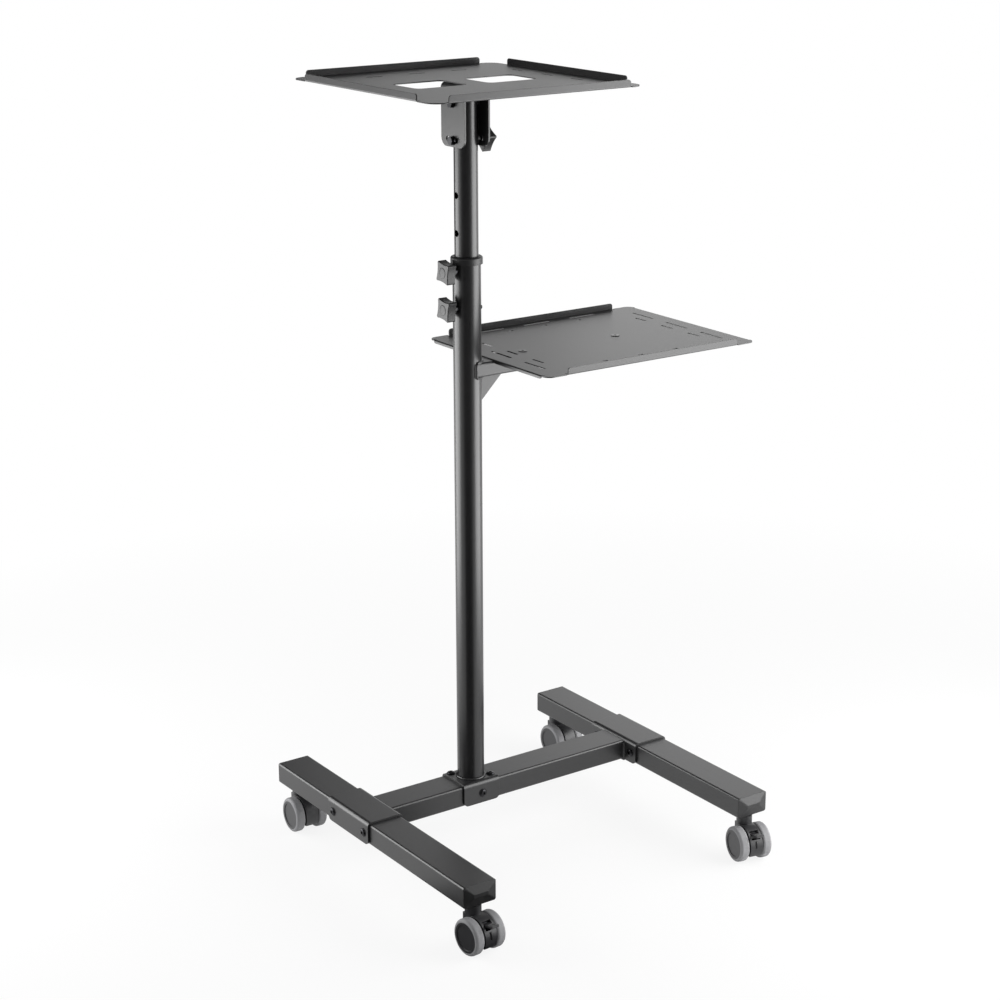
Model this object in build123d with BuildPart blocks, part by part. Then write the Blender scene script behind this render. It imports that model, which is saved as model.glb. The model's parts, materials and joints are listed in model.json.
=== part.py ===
from build123d import *
import math
import os

# Portable projector stand: a wheeled H-shaped base, a telescopic column, a tilting top
# tray and a fixed side shelf. X runs along the cross beam, Y along the two legs (+Y away
# from the braked casters), Z up from the floor. Everything is in millimetres.

# Legs, cross beam and end caps (rectangular steel tube)
leg_length = 483
leg_width = 50
leg_height = 30
beam_width = 50
beam_height = 30
tube_wall = 2
tube_corner = 3
column_to_left_leg = 176
column_to_right_leg = 284
column_to_near_end = 282.5
cap_rim = 1.5
cap_rise = 3.5
cap_flat_width = 22
cap_flat_height = 5
cap_flat_corner = 1
cap_plug_gap = 0.6
cap_fit = 0.1

# Folded brackets that tie the base together
saddle_length = 104
foot_length = 60
bracket_wall = 3
cheek_corner = 7
bracket_fit = 0.1
weld_gap = 0.05

# Telescopic column
lower_tube_diameter = 38
lower_tube_wall = 2
lower_tube_height = 735
upper_tube_diameter = 32
upper_tube_wall = 1.5
upper_tube_length = 502
upper_tube_overlap = 281
bush_flange_diameter = 43
bush_flange_height = 10
bush_flange_edge = 2.5
bush_sleeve_length = 34
slide_clearance = 0.08
clamp_from_tube_top = 8.8
index_pitch = 50
index_hole_diameter = 9
index_hole_count = 8
index_holes_above = 2

# Clamp screws and their four-lobed hand knobs
screw_diameter = 8
screw_clearance = 0.05
screw_tip_gap = 0.4
knob_lobes = 4
knob_radius = 18
knob_lobe_corner = 3.5
knob_scallop_radius = 50
knob_scallop_depth = 1.6
knob_thickness = 12.2
knob_hub_diameter = 16
knob_hub_length = 4.6
knob_edge = 1.2
clamp_knob_turn = 53
tilt_knob_turn = 81.5
nut_diameter = 12
nut_length = 2.5
knob_seat_gap = 0.4

# Top tray and its tilt bracket
sheet = 1.5
top_tray_width = 322
top_tray_depth = 340
top_tray_corner = 18
top_lip_width = 276
top_lip_depth = 266
lip_height = 10
lip_corner = 4
lip_bend = 2.2
lip_relief_width = 2
lip_relief_depth = 5
window_width = 78
window_depth = 64
window_corner = 9
window_gap = 32
top_slot_length = 25
slot_width = 4
top_slot_pitch = 67
top_slot_inset = 31
tilt_bracket_wall = 2.5
tilt_bracket_bend = 4
tilt_ear_gap = 1.5
tilt_ear_width = 54
tilt_ear_corner = 12
tilt_ear_below_slot = 8.5
pivot_below_tray = 25
pivot_to_tube_top = 10
pivot_to_slot = 48
tilt_limit = 15
slot_end_gap = 0.25
tilt_bolt_diameter = 6
tilt_bolt_clearance = 0.05
tilt_bolt_head = 11.5
tilt_bolt_head_height = 4
tilt_bolt_end_cover = 5
tilt_bolt_end_gap = 1
tilt_washer_diameter = 12
tilt_washer_height = 1.2
tilt_face_gap = 0.2
spacer_diameter = 16

# Side shelf and the arm that carries it
shelf_height = 701
shelf_width = 357
shelf_depth = 282
shelf_corner = 12
shelf_lip_width = 289
shelf_lip_depth = 254
shelf_gap = 10.5
shelf_hem_height = 4.6
shelf_hem_notch = 1
shelf_outer_slot_length = 47
shelf_outer_slot_pitch = 77
shelf_outer_slot_inset = 26
shelf_inner_slot_length = 25
shelf_inner_slot_pitch = 59.5
shelf_inner_slot_inset = 44
shelf_edge_slot_length = 48
shelf_edge_slot_pitch = 80
shelf_edge_slot_inset = 13
shelf_short_slot_length = 9
shelf_short_slot_pitch = 60
shelf_short_slot_inset = 31
arm_width = 40
arm_height = 20
arm_length = 250
gusset_width = 39
gusset_drop = 39
gusset_wall = 4

# Twin-wheel casters
caster_height = 66
wheel_diameter = 50
wheel_width = 14
wheel_rim_diameter = 41
tyre_edge = 4
hub_dish_depth = 0.8
hub_dish_diameter = 34
axle_diameter = 6
axle_clearance = 0.05
stem_inset = 19
stem_diameter = 10
stem_thread_length = 16
stem_flange_diameter = 19
stem_flange_height = 4
stem_gap = 0.4
caster_trail = 14
caster_turn = {"near_left": 4, "near_right": -12, "far_left": -3, "far_right": 0}
hood_width = 19
hood_wall = 2.75
hood_setback = 0.5
hood_front_angle = 75
hood_rear_angle = 212
hood_back = 9.5
hood_back_bottom = 28
hood_belly = 14
barrel_diameter = 22
wheel_side_gap = 0.8

# Brake pedals on the two near casters
pedal_width = 11
pedal_thickness = 3
pedal_reach = 25
pedal_rise_angle = 14.6
pedal_hub_diameter = 6
pedal_pin_diameter = 3
pedal_slot_low_angle = 150
pedal_slot_high_angle = 118
pedal_pivot_back = 8.5
pedal_pivot_up = 15.5

# Worked-out positions: the origin is on the floor, in the middle of the whole outline
lower_tube_radius = lower_tube_diameter / 2
upper_tube_radius = upper_tube_diameter / 2
wheel_radius = wheel_diameter / 2
hood_radius = wheel_radius - hood_setback
left_reach = column_to_left_leg + leg_width / 2 + bracket_fit + bracket_wall
right_reach = lower_tube_radius + shelf_gap + shelf_width
pedal_rise = math.radians(pedal_rise_angle)
pedal_tip = pedal_reach * math.cos(pedal_rise) + pedal_thickness / 2 * math.sin(pedal_rise)
pedal_back = caster_trail + pedal_pivot_back + pedal_tip
near_turns = [math.radians(caster_turn[name]) for name in ("near_left", "near_right")]
pedal_reaches = [pedal_back * math.cos(a) + pedal_width / 2 * abs(math.sin(a)) for a in near_turns]
near_reach = column_to_near_end - stem_inset + max(pedal_reaches)
far_reach = leg_length - column_to_near_end
column_x = (left_reach - right_reach) / 2
column_y = (near_reach - far_reach) / 2
leg_x = {"left": column_x - column_to_left_leg, "right": column_x + column_to_right_leg}
leg_near_y = column_y - column_to_near_end
leg_far_y = leg_near_y + leg_length
leg_mid_y = (leg_near_y + leg_far_y) / 2
leg_mid_z = caster_height + leg_height / 2
leg_top = caster_height + leg_height
cap_thickness = cap_rim + cap_rise
leg_tube_length = leg_length - 2 * cap_thickness
stem_y = {"near": leg_near_y + stem_inset, "far": leg_far_y - stem_inset}
foot_top = leg_top + bracket_fit + bracket_wall
lower_tube_top = foot_top + lower_tube_height
upper_tube_bottom = lower_tube_top - upper_tube_overlap
upper_tube_top = upper_tube_bottom + upper_tube_length
clamp_z = [lower_tube_top - clamp_from_tube_top, lower_tube_top - clamp_from_tube_top - index_pitch]
screw_radius = screw_diameter / 2
screw_hole_radius = screw_radius + screw_clearance
pivot_z = upper_tube_top - pivot_to_tube_top
tilt_slot_z = pivot_z - pivot_to_slot
tray_z = pivot_z + pivot_below_tray
tilt_bolt_radius = tilt_bolt_diameter / 2
tilt_hole_radius = tilt_bolt_radius + tilt_bolt_clearance
ear_inner = upper_tube_radius + tilt_ear_gap
ear_outer = ear_inner + tilt_bracket_wall
shelf_left = column_x + lower_tube_radius + shelf_gap
shelf_mid = shelf_left + shelf_width / 2

os.makedirs("parts", exist_ok=True)


def across_x(x, y, z):
    """Plane facing +X, with its own x along Y and its own y up."""
    return Plane(origin=(x, y, z), x_dir=(0, 1, 0), z_dir=(1, 0, 0))


def across_y(x, y, z):
    """Plane facing -Y, with its own x along X and its own y up."""
    return Plane(origin=(x, y, z), x_dir=(1, 0, 0), z_dir=(0, -1, 0))


def level(x, y, z):
    """Plane facing up."""
    return Plane(origin=(x, y, z))


def save(piece, name, axis=Axis.Z, turn=0):
    """Name a finished piece and write it to its own file, turned about the axis."""
    solid = piece.part.rotate(axis, turn)
    solid.label = name
    export_step(solid, f"parts/{name}.step")


def box_tube(width, height, wall):
    """Section of a rectangular tube with rounded corners."""
    RectangleRounded(width, height, tube_corner)
    inside_corner = max(tube_corner - wall, wall / 4)
    RectangleRounded(width - 2 * wall, height - 2 * wall, inside_corner, mode=Mode.SUBTRACT)


def strap_section(width, height, wall, corner):
    """Section of a strip folded down over a tube, from its lower edges."""
    half = width / 2
    with BuildLine() as strip:
        FilletPolyline((-half, 0), (-half, height), (half, height), (half, 0), radius=corner)
        offset(amount=wall, side=Side.LEFT)
    make_face(strip.edges())


def lip_section(length, height):
    """Outline of a tray's lip: a low strip with rounded free corners."""
    half = length / 2
    with BuildLine() as outline:
        FilletPolyline((-half, 0), (-half, height), (half, height), (half, 0), radius=lip_corner)
        Line((half, 0), (-half, 0))
    make_face(outline.edges())


# Legs: two rectangular tubes, holed underneath for the caster stems
for side in leg_x:
    with BuildPart() as leg:
        with BuildSketch(across_y(leg_x[side], leg_mid_y, leg_mid_z)):
            box_tube(leg_width, leg_height, tube_wall)
        extrude(amount=leg_tube_length / 2, both=True)
        with BuildSketch(level(leg_x[side], 0, caster_height)):
            with Locations((0, stem_y["near"]), (0, stem_y["far"])):
                Circle(stem_diameter / 2 + cap_fit)
        extrude(amount=tube_wall, mode=Mode.SUBTRACT)
    save(leg, f"{side}_leg")

# End caps: a plug inside the tube, a rim and a flat-topped pyramid outside
for side in leg_x:
    for end, facing in (("near", -1), ("far", 1)):
        tube_end = leg_mid_y + facing * leg_tube_length / 2
        seat = Plane(origin=(leg_x[side], tube_end, leg_mid_z), x_dir=(1, 0, 0), z_dir=(0, facing, 0))
        with BuildPart() as cap:
            with BuildSketch(seat):
                RectangleRounded(leg_width, leg_height, tube_corner)
            extrude(amount=cap_rim)
            with BuildSketch(seat.offset(cap_rim)):
                RectangleRounded(leg_width, leg_height, tube_corner)
            with BuildSketch(seat.offset(cap_thickness)):
                RectangleRounded(cap_flat_width, cap_flat_height, cap_flat_corner)
            loft(ruled=True)
            with BuildSketch(seat):
                plug_inset = 2 * (tube_wall + cap_fit)
                RectangleRounded(leg_width - plug_inset, leg_height - plug_inset, tube_wall / 2)
            extrude(amount=-(stem_inset - stem_diameter / 2 - cap_thickness - cap_plug_gap))
        save(cap, f"{side}_leg_{end}_cap")

# Cross beam: a tube from the inner cheek of one saddle to that of the other
saddle_reach = leg_width / 2 + bracket_fit + bracket_wall
beam_left = leg_x["left"] + saddle_reach
beam_right = leg_x["right"] - saddle_reach
with BuildPart() as beam:
    with BuildSketch(across_x(beam_left, column_y, leg_top - beam_height / 2)):
        box_tube(beam_width, beam_height, tube_wall)
    extrude(amount=beam_right - beam_left)
save(beam, "cross_beam")

# Saddles: strips folded over the legs, welded to the ends of the beam
for side in leg_x:
    with BuildPart() as saddle:
        with BuildSketch(across_y(leg_x[side], column_y, caster_height)):
            strap_section(
                leg_width + 2 * bracket_fit, leg_height + bracket_fit, bracket_wall,
                tube_corner + bracket_fit)
        extrude(amount=saddle_length / 2, both=True)
        fillet(saddle.edges().filter_by(Axis.X).group_by(Axis.Z)[0], cheek_corner)
    save(saddle, f"{side}_saddle")

# Column foot: a strip folded over the beam, which the lower tube stands on
with BuildPart() as foot:
    with BuildSketch(across_x(column_x, column_y, leg_top - beam_height)):
        strap_section(
            beam_width + 2 * bracket_fit, beam_height + bracket_fit, bracket_wall,
            tube_corner + bracket_fit)
    extrude(amount=foot_length / 2, both=True)
    fillet(foot.edges().filter_by(Axis.Y).group_by(Axis.Z)[0], cheek_corner)
save(foot, "column_foot")

# Lower tube: drilled on its left side for the two clamp screws
with BuildPart() as lower_tube:
    with BuildSketch(level(column_x, column_y, foot_top)):
        Circle(lower_tube_radius)
        Circle(lower_tube_radius - lower_tube_wall, mode=Mode.SUBTRACT)
    extrude(amount=lower_tube_height)
    with BuildSketch(across_x(column_x, column_y, 0)):
        with Locations(*[(0, z) for z in clamp_z]):
            Circle(screw_hole_radius)
    extrude(amount=-lower_tube_diameter, mode=Mode.SUBTRACT)
save(lower_tube, "lower_tube")

# Clamp nuts: round nuts welded over the two screw holes
with BuildPart() as clamp_nuts:
    with BuildSketch(across_x(column_x - lower_tube_radius - nut_length, column_y, 0)):
        with Locations(*[(0, z) for z in clamp_z]):
            Circle(nut_diameter / 2)
            Circle(screw_hole_radius, mode=Mode.SUBTRACT)
    extrude(amount=lower_tube_radius + nut_length)
    with BuildSketch(level(column_x, column_y, foot_top)):
        Circle(lower_tube_radius)
    extrude(amount=lower_tube_height + nut_diameter, mode=Mode.SUBTRACT)
save(clamp_nuts, "clamp_nuts")

# Guide bush: a moulded sleeve between the two tubes with a flange on the lower tube's end
bush_bore = upper_tube_radius + slide_clearance
bush_outside = lower_tube_radius - lower_tube_wall - slide_clearance
with BuildPart() as bush:
    with BuildSketch(level(column_x, column_y, lower_tube_top)):
        Circle(bush_flange_diameter / 2)
    extrude(amount=bush_flange_height)
    fillet(bush.edges().filter_by(GeomType.CIRCLE).group_by(Axis.Z)[-1], bush_flange_edge)
    with BuildSketch(level(column_x, column_y, lower_tube_top)):
        Circle(bush_outside)
    extrude(amount=-bush_sleeve_length)
    with BuildSketch(level(column_x, column_y, lower_tube_top - bush_sleeve_length)):
        Circle(bush_bore)
    extrude(amount=bush_sleeve_length + bush_flange_height, mode=Mode.SUBTRACT)
    with BuildSketch(across_x(column_x, column_y, clamp_z[0])):
        Circle(screw_hole_radius)
    extrude(amount=-lower_tube_diameter, mode=Mode.SUBTRACT)
save(bush, "guide_bush")

# Upper tube: index holes up its left side and cross holes for the pivot and tilt bolts
index_top = clamp_z[0] + index_holes_above * index_pitch
with BuildPart() as upper_tube:
    with BuildSketch(level(column_x, column_y, upper_tube_bottom)):
        Circle(upper_tube_radius)
        Circle(upper_tube_radius - upper_tube_wall, mode=Mode.SUBTRACT)
    extrude(amount=upper_tube_length)
    with BuildSketch(across_x(column_x, column_y, 0)):
        with Locations(*[(0, index_top - step * index_pitch) for step in range(index_hole_count)]):
            Circle(index_hole_diameter / 2)
    extrude(amount=-upper_tube_diameter, mode=Mode.SUBTRACT)
    with BuildSketch(across_x(column_x, column_y, 0)):
        with Locations((0, pivot_z), (0, tilt_slot_z)):
            Circle(tilt_hole_radius)
    extrude(amount=upper_tube_diameter, both=True, mode=Mode.SUBTRACT)
save(upper_tube, "upper_tube")


def knob_grip(turn):
    """Rounded lobes with hollowed flanks between them."""
    half_step = 180 / knob_lobes
    sharp_radius = knob_radius + knob_lobe_corner * (1 / math.cos(math.radians(half_step)) - 1)
    flank = sharp_radius * math.cos(math.radians(half_step)) - knob_scallop_depth
    with BuildSketch(mode=Mode.PRIVATE) as grip:
        RegularPolygon(sharp_radius, knob_lobes, rotation=turn)
        fillet(grip.vertices(), knob_lobe_corner)
        with PolarLocations(flank + knob_scallop_radius, knob_lobes, start_angle=turn + half_step):
            Circle(knob_scallop_radius, mode=Mode.SUBTRACT)
    add(grip.sketch)


# Clamp knobs: four-lobed heads on screws that reach in towards the upper tube
knob_seat = lower_tube_radius + nut_length + knob_seat_gap
for place, z in zip(("upper", "lower"), clamp_z):
    with BuildPart() as knob:
        with BuildSketch(across_x(column_x - knob_seat, column_y, z)):
            Circle(knob_hub_diameter / 2)
        extrude(amount=-knob_hub_length)
        with BuildSketch(across_x(column_x - knob_seat - knob_hub_length, column_y, z)):
            knob_grip(clamp_knob_turn)
        extrude(amount=-knob_thickness)
        fillet(knob.faces().sort_by(Axis.X)[0].edges(), knob_edge)
        with BuildSketch(across_x(column_x - knob_seat, column_y, z)):
            Circle(screw_radius)
        extrude(amount=knob_seat - upper_tube_radius - screw_tip_gap)
    save(knob, f"{place}_clamp_knob")

# Tilt bracket: a folded U under the top tray, pivoted near the tube's end, with an arc slot
# in each ear that lets the tray tilt past the tilt bolt
ear_bottom = tilt_slot_z - tilt_ear_below_slot
with BuildPart() as tilt_bracket:
    with BuildSketch(across_y(column_x, column_y, ear_bottom)):
        strap_section(
            2 * ear_inner, tray_z - tilt_bracket_wall - ear_bottom, tilt_bracket_wall,
            tilt_bracket_bend)
    extrude(amount=tilt_ear_width / 2, both=True)
    ear_ends = tilt_bracket.edges().filter_by(Axis.X).group_by(Axis.Z)[0]
    fillet(ear_ends, tilt_ear_corner)
    with BuildSketch(across_x(column_x, column_y, pivot_z)):
        Circle(tilt_hole_radius)
        with BuildLine(mode=Mode.PRIVATE) as slot_path:
            CenterArc((0, 0), pivot_to_slot, 270 - tilt_limit, 2 * tilt_limit)
        SlotArc(slot_path.edge(), tilt_bolt_diameter + 2 * slot_end_gap)
    extrude(amount=2 * ear_outer, both=True, mode=Mode.SUBTRACT)
save(tilt_bracket, "tilt_bracket")

# Tilt spacers: moulded washers on both bolts, coped to the upper tube, that the ears turn on
spacer_face = ear_inner - tilt_face_gap
with BuildPart() as spacers:
    for facing in (-1, 1):
        with BuildSketch(across_x(column_x + facing * spacer_face, column_y, 0)):
            with Locations((0, pivot_z), (0, tilt_slot_z)):
                Circle(spacer_diameter / 2)
                Circle(tilt_hole_radius, mode=Mode.SUBTRACT)
        extrude(amount=-facing * spacer_face)
    with BuildSketch(level(column_x, column_y, upper_tube_bottom)):
        Circle(upper_tube_radius + weld_gap)
    extrude(amount=upper_tube_length + spacer_diameter, mode=Mode.SUBTRACT)
save(spacers, "tilt_spacers")

# Pivot bolt: a hexagon head and washer outside one ear, a nut and washer outside the other
washer_seat = ear_outer + tilt_face_gap
with BuildPart() as pivot_bolt:
    with BuildSketch(across_x(column_x - washer_seat, column_y, pivot_z)):
        Circle(tilt_bolt_radius)
    extrude(amount=2 * washer_seat)
    for facing in (-1, 1):
        with BuildSketch(across_x(column_x + facing * washer_seat, column_y, pivot_z)):
            Circle(tilt_washer_diameter / 2)
        extrude(amount=facing * tilt_washer_height)
        head_seat = washer_seat + tilt_washer_height
        with BuildSketch(across_x(column_x + facing * head_seat, column_y, pivot_z)):
            RegularPolygon(tilt_bolt_head / 2, 6)
        extrude(amount=facing * tilt_bolt_head_height)
save(pivot_bolt, "pivot_bolt")

# Tilt bolt: its head is outside the left ear and its end is inside the tilt knob
knob_seat_right = ear_outer + knob_seat_gap
knob_far_face = knob_seat_right + knob_hub_length + knob_thickness
with BuildPart() as tilt_bolt:
    with BuildSketch(across_x(column_x - washer_seat, column_y, tilt_slot_z)):
        Circle(tilt_bolt_radius)
    extrude(amount=washer_seat + knob_far_face - tilt_bolt_end_cover)
    with BuildSketch(across_x(column_x - washer_seat, column_y, tilt_slot_z)):
        Circle(tilt_washer_diameter / 2)
    extrude(amount=-tilt_washer_height)
    with BuildSketch(across_x(column_x - washer_seat - tilt_washer_height, column_y, tilt_slot_z)):
        RegularPolygon(tilt_bolt_head / 2, 6)
    extrude(amount=-tilt_bolt_head_height)
save(tilt_bolt, "tilt_bolt")

# Tilt knob: the same head as the clamp knobs, with a blind bore for the bolt
with BuildPart() as tilt_knob:
    with BuildSketch(across_x(column_x + knob_seat_right, column_y, tilt_slot_z)):
        Circle(knob_hub_diameter / 2)
    extrude(amount=knob_hub_length)
    with BuildSketch(across_x(column_x + knob_seat_right + knob_hub_length, column_y, tilt_slot_z)):
        knob_grip(tilt_knob_turn)
    extrude(amount=knob_thickness)
    fillet(tilt_knob.faces().sort_by(Axis.X)[-1].edges(), knob_edge)
    with BuildSketch(across_x(column_x + knob_seat_right, column_y, tilt_slot_z)):
        Circle(tilt_hole_radius)
    bolt_bore = knob_hub_length + knob_thickness - tilt_bolt_end_cover + tilt_bolt_end_gap
    extrude(amount=bolt_bore, mode=Mode.SUBTRACT)
save(tilt_knob, "tilt_knob")


def fold(piece, run, height, side, place):
    """Round the outside of a fold: the longest edge along run, at that height and place."""
    near = sheet / 4
    found = piece.edges().filter_by(run).filter_by_position(Axis.Z, height - near, height + near)
    found = found.filter_by_position(side, place - near, place + near)
    fillet(found.sort_by(SortBy.LENGTH)[-1], lip_bend)


# Top tray: a pressed sheet with a low lip folded up on every side, two windows and slots
with BuildPart() as top_tray:
    with BuildSketch(level(column_x, column_y, tray_z)):
        RectangleRounded(top_tray_width, top_tray_depth, top_tray_corner)
        with GridLocations(window_gap + window_width, 0, 2, 1):
            RectangleRounded(window_width, window_depth, window_corner, mode=Mode.SUBTRACT)
        with GridLocations(top_tray_width - 2 * top_slot_inset, top_slot_pitch, 2, 3):
            SlotOverall(top_slot_length, slot_width, rotation=90, mode=Mode.SUBTRACT)
        with GridLocations(top_slot_pitch, top_tray_depth - 2 * (top_slot_inset + top_slot_length), 3, 2):
            SlotOverall(top_slot_length, slot_width, mode=Mode.SUBTRACT)
        with GridLocations(top_lip_width + lip_relief_width, top_tray_depth - lip_relief_depth, 2, 2):
            Rectangle(lip_relief_width, lip_relief_depth, mode=Mode.SUBTRACT)
        with GridLocations(top_tray_width - lip_relief_depth, top_lip_depth + lip_relief_width, 2, 2):
            Rectangle(lip_relief_depth, lip_relief_width, mode=Mode.SUBTRACT)
    extrude(amount=sheet)
    for facing in (-1, 1):
        lip_y = column_y + facing * top_tray_depth / 2
        with BuildSketch(across_y(column_x, lip_y, tray_z)):
            lip_section(top_lip_width, lip_height)
        extrude(amount=facing * sheet)
        fold(top_tray, Axis.X, tray_z, Axis.Y, lip_y)
        lip_x = column_x + facing * top_tray_width / 2
        with BuildSketch(across_x(lip_x, column_y, tray_z)):
            lip_section(top_lip_depth, lip_height)
        extrude(amount=-facing * sheet)
        fold(top_tray, Axis.Y, tray_z, Axis.X, lip_x)
save(top_tray, "top_tray")

# Shelf: a pressed sheet, its long lips folded up and its short lips folded down
with BuildPart() as shelf:
    with BuildSketch(level(shelf_mid, column_y, shelf_height)):
        RectangleRounded(shelf_width, shelf_depth, shelf_corner)
        with GridLocations(shelf_width - 2 * shelf_outer_slot_inset, shelf_outer_slot_pitch, 2, 3):
            SlotOverall(shelf_outer_slot_length, slot_width, rotation=90, mode=Mode.SUBTRACT)
        with GridLocations(shelf_width - 2 * shelf_inner_slot_inset, shelf_inner_slot_pitch, 2, 3):
            SlotOverall(shelf_inner_slot_length, slot_width, rotation=90, mode=Mode.SUBTRACT)
        with GridLocations(shelf_edge_slot_pitch, shelf_depth - 2 * shelf_edge_slot_inset, 3, 2):
            SlotOverall(shelf_edge_slot_length, slot_width, mode=Mode.SUBTRACT)
        with GridLocations(shelf_short_slot_pitch, shelf_depth - 2 * shelf_short_slot_inset, 3, 2):
            SlotOverall(shelf_short_slot_length, slot_width, mode=Mode.SUBTRACT)
        with GridLocations(shelf_lip_width + lip_relief_width, shelf_depth - lip_relief_depth, 2, 2):
            Rectangle(lip_relief_width, lip_relief_depth, mode=Mode.SUBTRACT)
        with GridLocations(shelf_width - lip_relief_depth, shelf_lip_depth + lip_relief_width, 2, 2):
            Rectangle(lip_relief_depth, lip_relief_width, mode=Mode.SUBTRACT)
    extrude(amount=sheet)
    for facing in (-1, 1):
        lip_y = column_y + facing * shelf_depth / 2
        with BuildSketch(across_y(shelf_mid, lip_y, shelf_height)):
            lip_section(shelf_lip_width, lip_height)
        extrude(amount=facing * sheet)
        fold(shelf, Axis.X, shelf_height, Axis.Y, lip_y)
        hem_x = shelf_mid + facing * shelf_width / 2
        hem = Plane(
            origin=(hem_x, column_y, shelf_height + sheet), x_dir=(0, facing, 0), z_dir=(-facing, 0, 0))
        with BuildSketch(hem):
            lip_section(shelf_lip_depth, shelf_hem_height)
        extrude(amount=sheet)
        fold(shelf, Axis.Y, shelf_height + sheet, Axis.X, hem_x)
    with BuildSketch(across_x(shelf_left, column_y, shelf_height)):
        Rectangle(arm_width + 2 * shelf_hem_notch, shelf_hem_height, align=(Align.CENTER, Align.MAX))
    extrude(amount=sheet, mode=Mode.SUBTRACT)
save(shelf, "side_shelf")

# Shelf arm: a rectangular tube, coped to the column and welded to it
arm_bottom = shelf_height - arm_height
with BuildPart() as arm:
    with BuildSketch(across_x(column_x, column_y, arm_bottom + arm_height / 2)):
        box_tube(arm_width, arm_height, tube_wall)
    extrude(amount=lower_tube_radius + arm_length)
    with BuildSketch(level(column_x, column_y, arm_bottom)):
        Circle(lower_tube_radius + weld_gap)
    extrude(amount=arm_height, mode=Mode.SUBTRACT)
save(arm, "shelf_arm")

# Gusset: a triangular plate under the arm, against the column
gusset_top = lower_tube_radius + gusset_width
with BuildPart() as gusset:
    with BuildSketch(across_y(column_x, column_y, arm_bottom)):
        with BuildLine():
            Polyline(
                (0, 0), (gusset_top, 0), (lower_tube_radius, -gusset_drop), (0, -gusset_drop),
                close=True)
        make_face()
    extrude(amount=gusset_wall / 2, both=True)
    with BuildSketch(level(column_x, column_y, arm_bottom)):
        Circle(lower_tube_radius + weld_gap)
    extrude(amount=-2 * gusset_drop, mode=Mode.SUBTRACT)
save(gusset, "shelf_gusset")

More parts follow.
